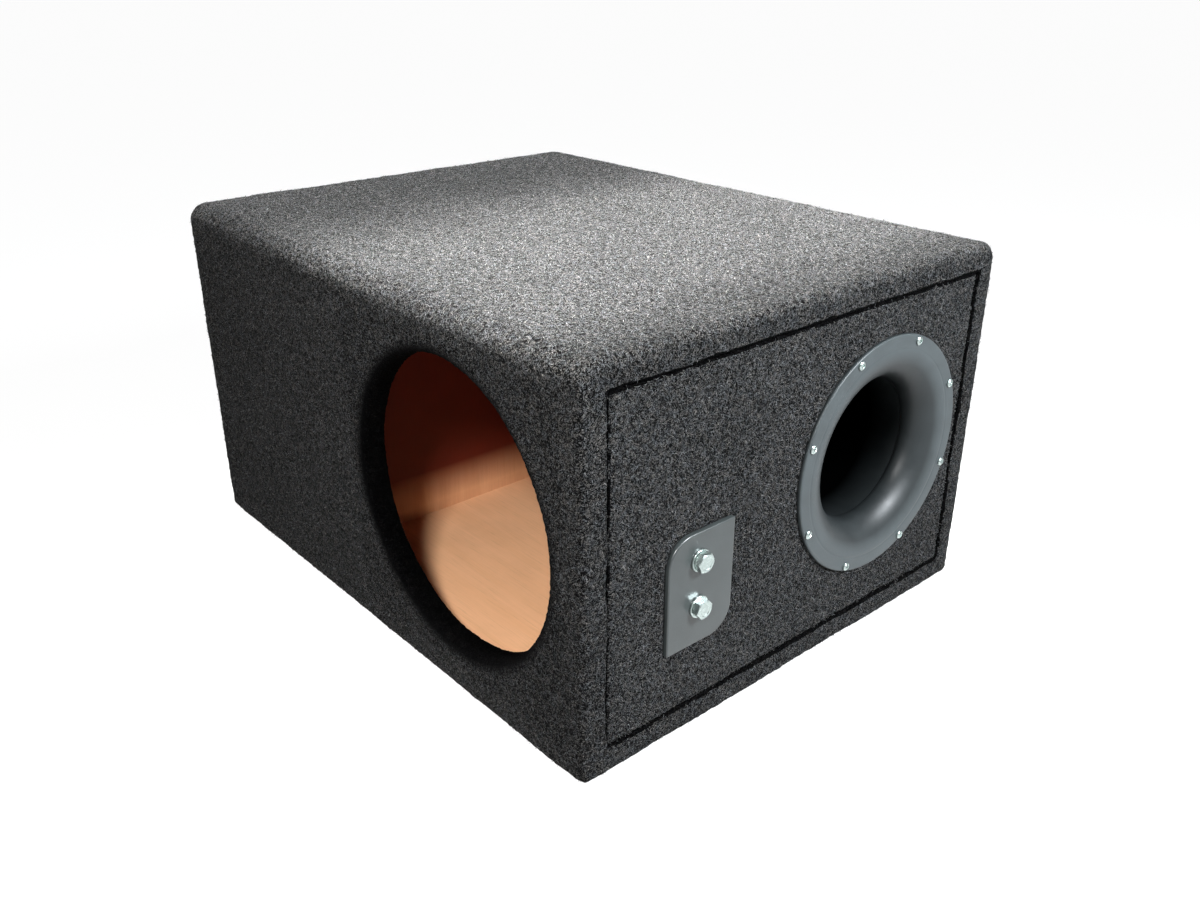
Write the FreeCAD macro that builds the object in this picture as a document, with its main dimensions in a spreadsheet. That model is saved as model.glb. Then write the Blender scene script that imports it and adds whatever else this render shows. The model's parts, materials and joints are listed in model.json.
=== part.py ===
# Carpeted, ported subwoofer enclosure for a car, supplied without its driver.
#
# Frame, in millimetres: the origin is the middle of the underside, +Z is up, -Y is
# the face with the driver cut-out and +X is the end with the port and the terminals.
#
# Four boards make a tube along X, with a divider board across it inside.  The two end
# boards sit inside that tube, a little behind its rim.  One carpet wraps the tube and
# turns in over the rims, one lies under the base, and each end board has its own.
# Screws under the carpet hold the boards.  The port is a bell, a tube and an inner
# bell.  Two clamp bolts pass through a plastic plate into flanged nuts pressed into the
# end board.

import FreeCAD
import Part
import math
import os

import Sketcher

V = FreeCAD.Vector
X_AXIS = V(1, 0, 0)
Y_AXIS = V(0, 1, 0)
Z_AXIS = V(0, 0, 1)

doc = FreeCAD.newDocument("ported_enclosure")

# ---------------------------------------------------------------- driving sizes

SIZES = [
    # over the carpet
    ("length", 653.0, "whole length along X, over the carpet"),
    ("depth", 516.0, "front to back along Y, over the carpet"),
    ("height", 362.0, "whole height, over the carpet"),
    ("board", 22.0, "thickness of every board"),
    ("carpet", 3.0, "thickness of the carpet on a face"),
    ("tuck", 1.5, "thickness of the carpet squeezed in the joint round an end board"),
    ("tuck_depth", 15.0, "how far the carpet is tucked into that joint"),
    ("recess", 2.0, "how far an end face lies behind the rim"),
    ("round_top", 16.0, "radius of the long upper edges, in the wood"),
    ("round_base", 5.0, "radius of the long lower edges, in the wood"),
    ("round_end", 4.5, "radius round the two ends, in the wood"),
    ("divider_x", -110.0, "face of the inner divider board that the driver's room ends at"),
    # driver cut-out in the front board
    ("driver_x", 148.6, "centre of the cut-out along X"),
    ("driver_z", 181.6, "centre of the cut-out above the base"),
    ("driver_cut", 138.0, "radius of the cut-out in the wood"),
    ("lip", 4.0, "chamfer round the front of the cut-out"),
    ("carpet_lip", 5.5, "chamfer of the carpet's surface round the cut-out"),
    ("lining_depth", 21.0, "how far the carpet turns into the cut-out, from the wood's face"),
    # port
    ("port_y", 102.7, "centre of the port along Y"),
    ("port_z", 186.0, "centre of the port above the base"),
    ("port_bore", 70.0, "inner radius of the port"),
    ("port_wall", 3.0, "wall of the tube"),
    ("port_length", 290.0, "from the flange's face to the inner bell's mouth"),
    ("bell_rise", 32.0, "radial half-axis of a bell's curve"),
    ("bell_reach", 26.0, "axial half-axis of a bell's curve"),
    ("flange", 115.5, "outer radius of the port's flange"),
    ("flange_thick", 4.0, "thickness of the port's flange"),
    ("inner_rim", 105.0, "outer radius of the inner bell's rim"),
    ("socket_depth", 20.0, "how far a bell's socket covers the tube"),
    ("glue_gap", 0.1, "radial gap between tube and socket"),
    ("port_cut", 103.0, "radius of the port's hole in the end board"),
    ("port_circle", 110.3, "radius of the circle of port screws"),
    ("port_turn", 70.0, "angle of the first port screw, from +Y towards +Z"),
    # terminal plate and its bolts
    ("plate_y", -131.9, "centre of the plate along Y"),
    ("plate_z", 139.2, "centre of the plate above the base"),
    ("plate_wide", 75.0, "plate along Y"),
    ("plate_tall", 105.5, "plate along Z"),
    ("plate_thick", 6.0, "thickness of the plate, which lies on the wood"),
    ("plate_round", 25.0, "radius of the plate's two rounded corners"),
    ("plate_gap", 0.3, "gap between the plate and the carpet round it"),
    ("bolt_y", -134.8, "both bolts along Y"),
    ("bolt_z", 144.5, "middle of the two bolts above the base"),
    ("bolt_pitch", 43.6, "distance between the bolts"),
    ("bolt_shank", 5.0, "radius of an M10 bolt"),
    ("bolt_long", 40.0, "length of a bolt under its head"),
    ("bolt_point", 1.0, "chamfer at a bolt's tip"),
    ("bolt_flats", 16.0, "across the flats of a head"),
    ("bolt_head", 6.4, "height of a head"),
    ("bolt_clear", 0.5, "radial clearance of a bolt in the plate"),
    ("washer_rim", 10.0, "outer radius of a washer"),
    ("washer_bore", 5.3, "inner radius of a washer"),
    ("washer_thick", 2.0, "thickness of a washer"),
    ("nut_bore", 5.05, "radius of a nut's thread, running on the bolt"),
    ("nut_barrel", 6.2, "radius of a nut's barrel"),
    ("nut_deep", 12.0, "length of a nut's barrel"),
    ("nut_rim", 11.0, "radius of a nut's flange"),
    ("nut_thick", 1.5, "thickness of a nut's flange"),
    # wood screws
    ("screw_shank", 2.0, "radius of a screw"),
    ("screw_head", 4.0, "radius of a screw's head"),
    ("screw_sink", 2.4, "height of a countersunk head"),
    ("screw_long", 45.0, "length of a screw in the boards"),
    ("screw_clear", 0.05, "radial clearance of a screw in its hole"),
    ("screw_bury", 5.0, "how far the front and back screws are sunk below the wood's face"),
    ("port_screw_long", 22.0, "length of a port screw under its head"),
    ("port_screw_head", 2.6, "height of a port screw's pan head"),
    ("pan_inset", 1.4, "how far the flat top of a pan head is in from its rim"),
    ("pan_slope", 1.2, "height of the sloped part of a pan head"),
    ("side_pitch", 135.0, "spacing of the front and back screws along X"),
    ("cap_pitch", 150.0, "spacing of the top and bottom screws along Y"),
]

sheet = doc.addObject("Spreadsheet::Sheet", "Sizes")
for row, (alias, value, meaning) in enumerate(SIZES, start=1):
    sheet.set("A%d" % row, alias)
    sheet.set("B%d" % row, str(value))
    sheet.set("C%d" % row, meaning)
    sheet.setAlias("B%d" % row, alias)
doc.recompute()


def cells(expression):
    """Turn {name} in an expression into a reference to that cell."""
    return expression.replace("{", "Sizes.").replace("}", "")


def number(expression):
    """The value that an expression has now."""
    return float(sheet.evalExpression(cells(expression)))


def bind(item, name, expression):
    """Drive one property of an object from the sheet."""
    item.setExpression(name, cells(expression))


def move_to(item, place, rotation=FreeCAD.Rotation()):
    """Give an object its rotation and a position driven from the sheet."""
    item.Placement = FreeCAD.Placement(V(0, 0, 0), rotation)
    for axis, expression in zip("xyz", place):
        bind(item, "Placement.Base." + axis, expression)


# ---------------------------------------------------------------- shared places

END = "({length} / 2)"
WOOD_END = "({length} / 2 - {carpet})"
END_FACE = "({length} / 2 - {recess})"
CAP_OUT = "({length} / 2 - {recess} - {carpet})"
CAP_IN = "({length} / 2 - {recess} - {carpet} - {board})"
WOOD_SIDE = "({depth} / 2 - {carpet})"
INNER_SIDE = "({depth} / 2 - {carpet} - {board})"
INNER_LOW = "({carpet} + {board})"
INNER_HIGH = "({height} - {carpet} - {board})"
WOOD_HIGH = "({height} - {carpet})"
FLANGE_FACE = "({length} / 2 - {recess} + {flange_thick})"
PLATE_FACE = "({length} / 2 - {recess} - {carpet} + {plate_thick})"
THROUGH = 5.0

FACING_X = FreeCAD.Rotation(Y_AXIS, 90)
FACING_BACK = FreeCAD.Rotation(X_AXIS, -90)
FACING_FRONT = FreeCAD.Rotation(X_AXIS, 90)
FACING_DOWN = FreeCAD.Rotation(X_AXIS, 180)


# ---------------------------------------------------------------- Part helpers

def both(low_or_high):
    """A symmetric pair of limits."""
    return ("-" + low_or_high, low_or_high)


def block(name, x, y, z):
    """A Part::Box between three pairs of limits."""
    item = doc.addObject("Part::Box", name)
    for side, (low, high) in zip(("Length", "Width", "Height"), (x, y, z)):
        bind(item, side, "(%s) - (%s)" % (high, low))
    move_to(item, (x[0], y[0], z[0]))
    return item


def rod(name, radius, height, place, rotation):
    """A Part::Cylinder."""
    item = doc.addObject("Part::Cylinder", name)
    bind(item, "Radius", radius)
    bind(item, "Height", height)
    move_to(item, place, rotation)
    return item


def cone(name, near, far, height, place, rotation):
    """A Part::Cone that starts with radius near and ends with radius far."""
    item = doc.addObject("Part::Cone", name)
    bind(item, "Radius1", near)
    bind(item, "Radius2", far)
    bind(item, "Height", height)
    move_to(item, place, rotation)
    return item


def fuse(name, items):
    """A Part::MultiFuse."""
    item = doc.addObject("Part::MultiFuse", name)
    item.Shapes = items
    return item


def cut(name, base, tool):
    """A Part::Cut."""
    item = doc.addObject("Part::Cut", name)
    item.Base = base
    item.Tool = tool
    return item


def common(name, base, tool):
    """A Part::Common."""
    item = doc.addObject("Part::Common", name)
    item.Base = base
    item.Tool = tool
    return item


# ---------------------------------------------------------------- PartDesign helpers

def origin_feature(body, role):
    """One of a body's own origin planes or axes."""
    return [item for item in body.Origin.OriginFeatures if item.Role == role][0]


def new_body(name):
    """A PartDesign::Body."""
    return doc.addObject("PartDesign::Body", name)


def new_sketch(body, name, role):
    """A sketch on one of the body's origin planes."""
    sketch = body.newObject("Sketcher::SketchObject", name)
    sketch.AttachmentSupport = (origin_feature(body, role), [""])
    sketch.MapMode = "FlatFace"
    return sketch


def place_point(sketch, item, point, expressions):
    """Fix one point of a sketch's geometry at a pair of expressions."""
    kinds = (("DistanceX", -2), ("DistanceY", -1))
    for (kind, axis), expression in zip(kinds, expressions):
        value = number(expression)
        if abs(value) < 1e-9:
            sketch.addConstraint(Sketcher.Constraint("PointOnObject", item, point, axis))
            continue
        index = sketch.addConstraint(Sketcher.Constraint(kind, -1, 1, item, point, value))
        sketch.setExpression("Constraints[%d]" % index, cells(expression))


def add_circle(sketch, radius, centre=("0", "0")):
    """A circle whose centre and radius come from the sheet."""
    middle = V(number(centre[0]), number(centre[1]), 0)
    item = sketch.addGeometry(Part.Circle(middle, Z_AXIS, number(radius)))
    place_point(sketch, item, 3, centre)
    index = sketch.addConstraint(Sketcher.Constraint("Radius", item, number(radius)))
    sketch.setExpression("Constraints[%d]" % index, cells(radius))


def add_outline(sketch, points):
    """A closed outline of straight lines through points from the sheet."""
    places = [V(number(x), number(y), 0) for x, y in points]
    count = len(points)
    lines = []
    for start in range(count):
        line = Part.LineSegment(places[start], places[(start + 1) % count])
        lines.append(sketch.addGeometry(line))
    for start in range(count):
        after = lines[(start + 1) % count]
        sketch.addConstraint(Sketcher.Constraint("Coincident", lines[start], 2, after, 1))
    for line, point in zip(lines, points):
        place_point(sketch, line, 1, point)


def pad(body, name, sketch, length, reverse=False):
    """Pad a sketch by a length from the sheet."""
    feature = body.newObject("PartDesign::Pad", name)
    feature.Profile = sketch
    bind(feature, "Length", length)
    feature.Reversed = reverse
    body.Tip = feature
    return feature


def revolve(body, name, sketch, role):
    """Turn a sketch once round one of the body's axes."""
    feature = body.newObject("PartDesign::Revolution", name)
    feature.Profile = sketch
    feature.ReferenceAxis = (origin_feature(body, role), [""])
    feature.Angle = 360
    body.Tip = feature
    return feature


def fillet(body, name, base, edges, radius):
    """Round some edges of a feature."""
    feature = body.newObject("PartDesign::Fillet", name)
    feature.Base = (base, edges)
    bind(feature, "Radius", radius)
    body.Tip = feature
    return feature


def edges_where(shape, test):
    """Names of the edges whose middle passes a test."""
    names = []
    for index, edge in enumerate(shape.Edges, start=1):
        middle = edge.valueAt((edge.FirstParameter + edge.LastParameter) / 2)
        if test(middle):
            names.append("Edge%d" % index)
    return names


def row_pattern(body, name, role, pitch, count):
    """One straight row inside a MultiTransform."""
    row_feature = body.newObject("PartDesign::LinearPattern", name)
    row_feature.Direction = (origin_feature(body, role), [""])
    bind(row_feature, "Length", "(%s) * %d" % (pitch, count - 1))
    row_feature.Occurrences = count
    return row_feature


# ---------------------------------------------------------------- outer form

def rounded_envelope(name, grow):
    """A block with rounded edges; grow is what it stands out past the wood."""
    body = new_body(name)
    sketch = new_sketch(body, name + "_outline", "YZ_Plane")
    side = "(%s + %s)" % (WOOD_SIDE, grow)
    low = "({carpet} - %s)" % grow
    high = "(%s + %s)" % (WOOD_HIGH, grow)
    add_outline(sketch, [("-" + side, low), (side, low), (side, high), ("-" + side, high)])
    solid = pad(body, name + "_pad", sketch, "2 * (%s + %s)" % (WOOD_END, grow))
    solid.Midplane = True
    doc.recompute()

    half_length = number("%s + %s" % (WOOD_END, grow))
    middle = number("{height} / 2")
    long_top = edges_where(solid.Shape, lambda p: abs(p.x) < 1 and p.z > middle)
    solid = fillet(body, name + "_top", solid, long_top, "{round_top} + %s" % grow)
    doc.recompute()
    long_base = edges_where(solid.Shape, lambda p: abs(p.x) < 1 and p.z < number("{round_top}"))
    solid = fillet(body, name + "_base", solid, long_base, "{round_base} + %s" % grow)
    doc.recompute()
    ends = edges_where(solid.Shape, lambda p: abs(abs(p.x) - half_length) < 0.01)
    fillet(body, name + "_ends", solid, ends, "{round_end} + %s" % grow)
    doc.recompute()
    return body


wood_envelope = rounded_envelope("wood_envelope", "0")
carpet_envelope = rounded_envelope("carpet_envelope", "{carpet}")


# ---------------------------------------------------------------- screws

def screw_grid(name, place, rotation, rows, clearance="0", stand="0"):
    """Countersunk screws along the body's -Z, repeated on a grid about its origin.

    rows is ((X pitch, X count), (Y pitch, Y count)).  With a clearance the same
    outline is the tool that bores the screws' holes, and stand lets the tool's
    head reach past the board's face.
    """
    body = new_body(name)
    (x_pitch, x_count), (y_pitch, y_count) = rows
    shank = "({screw_shank} + %s)" % clearance
    head = "({screw_head} + %s)" % clearance
    tip = "-({screw_long} + %s)" % clearance
    outline = [
        ("0", stand),
        (head, stand),
        (head, "0"),
        (shank, "-{screw_sink}"),
        (shank, "%s + 2 * {screw_shank}" % tip),
        ("0", tip),
    ]
    if number(stand) == 0:
        outline.pop(1)
    sketch = new_sketch(body, name + "_outline", "XZ_Plane")
    add_outline(sketch, outline)
    first = revolve(body, name + "_screw", sketch, "Z_Axis")
    doc.recompute()
    grid = body.newObject("PartDesign::MultiTransform", name + "_grid")
    grid.Originals = [first]
    grid.Transformations = [
        row_pattern(body, name + "_row_x", "X_Axis", x_pitch, x_count),
        row_pattern(body, name + "_row_y", "Y_Axis", y_pitch, y_count),
    ]
    body.Tip = grid
    move_to(body, place, rotation)
    return body


SIDE_ROWS = (("{side_pitch}", 5), ("{height} - 2 * {carpet} - {board}", 2))
CAP_ROWS = (("2 * %s - {board}" % CAP_OUT, 2), ("{cap_pitch}", 3))
FIRST_SIDE_X = "-2 * {side_pitch}"
FIRST_CAP_X = "-(%s - {board} / 2)" % CAP_OUT
LOW_ROW = "{carpet} + {board} / 2"
HIGH_ROW = "{height} - {carpet} - {board} / 2"

SIDE_SEAT = "(%s - {screw_bury})" % WOOD_SIDE
SIDE_STAND = "({screw_bury} + 0.5)"
CAP_STAND = "0.5"

SCREW_GROUPS = {
    "front_screws": (
        (FIRST_SIDE_X, "-" + SIDE_SEAT, LOW_ROW), FACING_FRONT, SIDE_ROWS, SIDE_STAND
    ),
    "back_screws": (
        (FIRST_SIDE_X, SIDE_SEAT, HIGH_ROW), FACING_BACK, SIDE_ROWS, SIDE_STAND
    ),
    "top_screws": (
        (FIRST_CAP_X, "-{cap_pitch}", WOOD_HIGH), FreeCAD.Rotation(), CAP_ROWS, CAP_STAND
    ),
    "bottom_screws": (
        (FIRST_CAP_X, "{cap_pitch}", "{carpet}"), FACING_DOWN, CAP_ROWS, CAP_STAND
    ),
}

screws = []
screw_tools = []
for group, (place, rotation, rows, stand) in SCREW_GROUPS.items():
    screws.append(screw_grid(group, place, rotation, rows))
    tool = screw_grid(group + "_tool", place, rotation, rows, "{screw_clear}", stand)
    screw_tools.append(tool)
screw_holes = fuse("screw_holes", screw_tools)


def port_screw_ring(name, clearance="0"):
    """Eight pan-head screws round the flange, along the body's -Z."""
    body = new_body(name)
    shank = "({screw_shank} + %s)" % clearance
    tip = "-({port_screw_long} + %s)" % clearance
    out = "{port_circle}"
    outline = [
        (out, "{port_screw_head}"),
        (out + " + {screw_head} - {pan_inset}", "{port_screw_head}"),
        (out + " + {screw_head}", "{port_screw_head} - {pan_slope}"),
        (out + " + {screw_head}", "0"),
        (out + " + " + shank, "0"),
        (out + " + " + shank, "%s + 2 * {screw_shank}" % tip),
        (out, tip),
    ]
    sketch = new_sketch(body, name + "_outline", "XZ_Plane")
    add_outline(sketch, outline)
    doc.recompute()
    first = body.newObject("PartDesign::Revolution", name + "_screw")
    first.Profile = sketch
    inner_line = "Edge%d" % len(outline)
    first.ReferenceAxis = (sketch, [inner_line])
    first.Angle = 360
    doc.recompute()
    ring = body.newObject("PartDesign::PolarPattern", name + "_ring")
    ring.Originals = [first]
    ring.Axis = (origin_feature(body, "Z_Axis"), [""])
    ring.Angle = 360
    ring.Occurrences = 8
    body.Tip = ring
    turn = FACING_X * FreeCAD.Rotation(Z_AXIS, 90 + number("{port_turn}"))
    move_to(body, (FLANGE_FACE, "{port_y}", "{port_z}"), turn)
    return body


port_screws = port_screw_ring("port_screws")
port_screw_holes = port_screw_ring("port_screw_holes", "{screw_clear}")


# ---------------------------------------------------------------- shell boards

def hole_tool(name, radius, face, flare):
    """A round hole through the front with a chamfer of flare at the given face."""
    start = ("{driver_x}", "-{depth} / 2 - %g" % THROUGH, "{driver_z}")
    hole = rod(name + "_bore", radius, "{board} + 4 * %g" % THROUGH, start, FACING_BACK)
    mouth = ("{driver_x}", face, "{driver_z}")
    chamfer = cone(name + "_flare", "%s + %s" % (radius, flare), radius, flare, mouth, FACING_BACK)
    return fuse(name, [hole, chamfer])


driver_hole = hole_tool("driver_hole", "{driver_cut}", "-" + WOOD_SIDE, "{lip}")

boards = {
    "top_panel": (both(WOOD_END), both(INNER_SIDE), (INNER_HIGH, WOOD_HIGH)),
    "bottom_panel": (both(WOOD_END), both(INNER_SIDE), ("{carpet}", INNER_LOW)),
    "driver_baffle": (both(WOOD_END), ("-" + WOOD_SIDE, "-" + INNER_SIDE), ("{carpet}", WOOD_HIGH)),
    "back_panel": (both(WOOD_END), (INNER_SIDE, WOOD_SIDE), ("{carpet}", WOOD_HIGH)),
}

shell = {}
for board_name, limits in boards.items():
    blank = block(board_name + "_blank", *limits)
    rounded = common(board_name + "_rounded", blank, wood_envelope)
    if board_name == "driver_baffle":
        rounded = cut("driver_baffle_bored", rounded, driver_hole)
    shell[board_name] = cut(board_name, rounded, screw_holes)


# ---------------------------------------------------------------- boards across the tube

CAP_SIDE = "(%s - 2 * {tuck})" % INNER_SIDE
CAP_LOW = "(%s + 2 * {tuck})" % INNER_LOW
CAP_HIGH = "(%s - 2 * {tuck})" % INNER_HIGH
PORT_AXIS = ("{port_y}", "{port_z}")


def bolt_heights():
    """The heights of the lower and the upper terminal bolt."""
    return ("{bolt_z} - {bolt_pitch} / 2", "{bolt_z} + {bolt_pitch} / 2")


port_hole = rod(
    "port_hole", "{port_cut}", "{board} + 6 * %g" % THROUGH,
    ("%s - %g" % (CAP_IN, THROUGH),) + PORT_AXIS, FACING_X,
)
nut_holes = []
for index, height in enumerate(bolt_heights()):
    place = ("%s - %g" % (CAP_IN, THROUGH), "{bolt_y}", height)
    nut_holes.append(rod("nut_hole_%d" % index, "{nut_barrel} + {screw_clear}",
                         "{board} + 2 * %g" % THROUGH, place, FACING_X))
end_holes = fuse("end_holes", [port_hole, port_screw_holes, screw_holes] + nut_holes)

port_end_blank = block("port_end_blank", (CAP_IN, CAP_OUT), both(CAP_SIDE), (CAP_LOW, CAP_HIGH))
port_end_panel = cut("port_end_panel", port_end_blank, end_holes)
plain_end_blank = block(
    "plain_end_blank", ("-" + CAP_OUT, "-" + CAP_IN), both(CAP_SIDE), (CAP_LOW, CAP_HIGH)
)
plain_end_panel = cut("plain_end_panel", plain_end_blank, screw_holes)
divider_panel = block(
    "divider_panel", ("{divider_x} - {board}", "{divider_x}"), both(INNER_SIDE),
    (INNER_LOW, INNER_HIGH)
)


# ---------------------------------------------------------------- terminals

def plate_body(name, grow, bored):
    """The terminal plate: two opposite corners rounded, the other two square."""
    body = new_body(name)
    sketch = new_sketch(body, name + "_outline", "YZ_Plane")
    side = "({plate_wide} / 2 + %s)" % grow
    tall = "({plate_tall} / 2 + %s)" % grow
    corners = [("-" + side, "-" + tall), (side, "-" + tall), (side, tall), ("-" + side, tall)]
    add_outline(sketch, corners)
    if bored:
        for height in bolt_heights():
            centre = ("{bolt_y} - {plate_y}", "%s - {plate_z}" % height)
            add_circle(sketch, "{bolt_shank} + {bolt_clear}", centre)
    solid = pad(body, name + "_pad", sketch, "{plate_thick}")
    doc.recompute()
    reach = number(side)
    rise = number(tall)

    def is_round_corner(point):
        at_corner = abs(abs(point.y) - reach) < 0.01 and abs(abs(point.z) - rise) < 0.01
        return at_corner and point.y * point.z < 0

    edges = edges_where(solid.Shape, is_round_corner)
    fillet(body, name + "_corners", solid, edges, "{plate_round} + %s" % grow)
    move_to(body, (CAP_OUT, "{plate_y}", "{plate_z}"))
    return body


def ring_body(name, outer, inner, thick, place):
    """A flat ring or a tube along +X."""
    body = new_body(name)
    sketch = new_sketch(body, name + "_outline", "YZ_Plane")
    add_circle(sketch, outer)
    add_circle(sketch, inner)
    pad(body, name + "_pad", sketch, thick)
    move_to(body, place)
    return body


def bolt_body(name, height):
    """A hexagon-head bolt, its shank along -X and the head's seat at its origin."""
    body = new_body(name)
    half = "({bolt_flats} / 2)"
    corner = "({bolt_flats} / sqrt(3))"
    points = [
        ("0", corner), (half, corner + " / 2"), (half, "-" + corner + " / 2"),
        ("0", "-" + corner), ("-" + half, "-" + corner + " / 2"), ("-" + half, corner + " / 2"),
    ]
    head = new_sketch(body, name + "_hexagon", "YZ_Plane")
    add_outline(head, points)
    pad(body, name + "_head", head, "{bolt_head}")
    shank = new_sketch(body, name + "_circle", "YZ_Plane")
    add_circle(shank, "{bolt_shank}")
    solid = pad(body, name + "_shank", shank, "{bolt_long}", reverse=True)
    doc.recompute()
    end = number("-{bolt_long}")
    chamfer = body.newObject("PartDesign::Chamfer", name + "_point")
    chamfer.Base = (solid, edges_where(solid.Shape, lambda p: abs(p.x - end) < 0.01))
    bind(chamfer, "Size", "{bolt_point}")
    body.Tip = chamfer
    move_to(body, (PLATE_FACE + " + {washer_thick}", "{bolt_y}", height))
    return body


def tee_nut_body(name):
    """Two flanged nuts, one above the other, pressed in from inside the box."""
    body = new_body(name)
    flange = new_sketch(body, name + "_rim", "YZ_Plane")
    add_circle(flange, "{nut_rim}")
    add_circle(flange, "{nut_bore}")
    rim = pad(body, name + "_flange", flange, "{nut_thick}")
    barrel = new_sketch(body, name + "_wall", "YZ_Plane")
    add_circle(barrel, "{nut_barrel}")
    add_circle(barrel, "{nut_bore}")
    tube = pad(body, name + "_barrel", barrel, "{nut_thick} + {nut_deep}")
    doc.recompute()
    pair = body.newObject("PartDesign::LinearPattern", name + "_pair")
    pair.Originals = [rim, tube]
    pair.Direction = (origin_feature(body, "Z_Axis"), [""])
    bind(pair, "Length", "{bolt_pitch}")
    pair.Occurrences = 2
    body.Tip = pair
    move_to(body, (CAP_IN + " - {nut_thick}", "{bolt_y}", bolt_heights()[0]))
    return body


terminal_plate = plate_body("terminal_plate", "0", bored=True)
plate_window = plate_body("plate_window", "{plate_gap}", bored=False)
terminal_tee_nuts = tee_nut_body("terminal_tee_nuts")
clamp_parts = []
for which, height in zip(("lower", "upper"), bolt_heights()):
    washer_place = (PLATE_FACE, "{bolt_y}", height)
    clamp_parts.append(ring_body("terminal_washer_" + which, "{washer_rim}", "{washer_bore}",
                                 "{washer_thick}", washer_place))
    clamp_parts.append(bolt_body("terminal_bolt_" + which, height))


# ---------------------------------------------------------------- port

def bell_feature(name, rim_radius, face, outward):
    """A flared mouth turned round the port's axis.

    The air side is a quarter ellipse from the rim's face to the bore.  A socket
    behind it takes the tube's end.  outward is 1 for a mouth towards +X and -1 for
    a mouth towards -X; face is where the mouth's outer face lies.
    """
    bore = number("{port_bore}")
    rise = number("{bell_rise}")
    reach = number("{bell_reach}")
    thick = number("{flange_thick}")
    socket_in = bore + number("{port_wall} + {glue_gap}")
    socket_out = socket_in + number("{port_wall}")
    throat = -reach
    seat = throat - thick
    socket_end = seat - number("{socket_depth}")
    crest = bore + rise
    edge_round = thick / 4

    def quarter(axial, radial, centre_x):
        """Quarter ellipse from the mouth (centre_x + axial) down to the throat."""
        centre = V(centre_x, 0, crest)
        tip = V(centre_x + axial, 0, crest)
        low = V(centre_x, 0, crest - radial)
        points = (tip, low) if axial >= radial else (low, tip)
        curve = Part.Ellipse(points[0], points[1], centre)
        ends = sorted((curve.parameter(tip), curve.parameter(low)))
        if ends[1] - ends[0] > math.pi:
            ends = [ends[1] - 2 * math.pi, ends[0]]
        return Part.ArcOfEllipse(curve, ends[0], ends[1]).toShape()

    def line(start, end):
        return Part.LineSegment(V(start[0], 0, start[1]), V(end[0], 0, end[1])).toShape()

    slope = edge_round * (1 - math.sqrt(0.5))
    corner = Part.Arc(
        V(-edge_round, 0, rim_radius),
        V(-slope, 0, rim_radius - slope),
        V(0, 0, rim_radius - edge_round),
    ).toShape()
    edges = [
        line((0, crest), (0, rim_radius - edge_round)),
        corner,
        line((-edge_round, rim_radius), (-thick, rim_radius)),
        line((-thick, rim_radius), (-thick, crest)),
        quarter(reach - thick, crest - socket_out, throat),
        line((throat, socket_out), (socket_end, socket_out)),
        line((socket_end, socket_out), (socket_end, socket_in)),
        line((socket_end, socket_in), (seat, socket_in)),
        line((seat, socket_in), (seat, bore)),
        line((seat, bore), (throat, bore)),
        quarter(reach, rise, throat),
    ]
    wire = Part.Wire(Part.__sortEdges__(edges))
    solid = Part.Face(wire).revolve(V(0, 0, 0), X_AXIS, 360)
    item = doc.addObject("Part::Feature", name)
    item.Shape = Part.makeSolid(solid) if solid.ShapeType == "Shell" else solid
    turn = FreeCAD.Rotation() if outward > 0 else FreeCAD.Rotation(Z_AXIS, 180)
    place = V(number(face), number("{port_y}"), number("{port_z}"))
    item.Placement = FreeCAD.Placement(place, turn)
    return item


INNER_MOUTH = "(%s - {port_length})" % FLANGE_FACE
SEAT_DEPTH = "({bell_reach} + {flange_thick})"
outer_bell_blank = bell_feature("outer_bell_blank", number("{flange}"), FLANGE_FACE, 1)
port_outer_bell = cut("port_outer_bell", outer_bell_blank, port_screw_holes)
port_inner_bell = bell_feature("port_inner_bell", number("{inner_rim}"), INNER_MOUTH, -1)
port_tube = ring_body(
    "port_tube", "{port_bore} + {port_wall}", "{port_bore}",
    "{port_length} - 2 * %s" % SEAT_DEPTH,
    ("%s + %s" % (INNER_MOUTH, SEAT_DEPTH), "{port_y}", "{port_z}"),
)


# ---------------------------------------------------------------- carpets

def frame_tube(name, x, outer, inner):
    """A rectangular tube along X between two (side, low, high) outlines."""
    limits = []
    for side, low, high in (outer, inner):
        limits.append((both(side), (low, high)))
    full = block(name + "_outer", x, *limits[0])
    longer = ("%s - %g" % (x[0], THROUGH), "%s + %g" % (x[1], THROUGH))
    hollow = block(name + "_inner", longer, *limits[1])
    return cut(name, full, hollow)


OPENING = (INNER_SIDE, INNER_LOW, INNER_HIGH)
TUCKED = (
    "(%s - {tuck})" % INNER_SIDE,
    "(%s + {tuck})" % INNER_LOW,
    "(%s - {tuck})" % INNER_HIGH,
)
TUCK_BOTTOM = "(%s - {tuck_depth})" % CAP_OUT

skin = cut("skin", carpet_envelope, wood_envelope)
base_slab = block("base_slab", both(END), both("({depth} / 2)"), ("0", "{carpet}"))
bottom_carpet = common("bottom_carpet", skin, base_slab)

tube_opening = block("tube_opening", both("(%s + %g)" % (END, THROUGH)),
                     both(INNER_SIDE), (INNER_LOW, INNER_HIGH))
sides = cut("sides", cut("upper_skin", skin, base_slab), tube_opening)
port_tuck = frame_tube("port_tuck", (TUCK_BOTTOM, END), OPENING, TUCKED)
plain_tuck = frame_tube("plain_tuck", ("-" + END, "-" + TUCK_BOTTOM), OPENING, TUCKED)
tucks = cut("tucks", fuse("both_tucks", [port_tuck, plain_tuck]), screw_holes)

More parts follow.
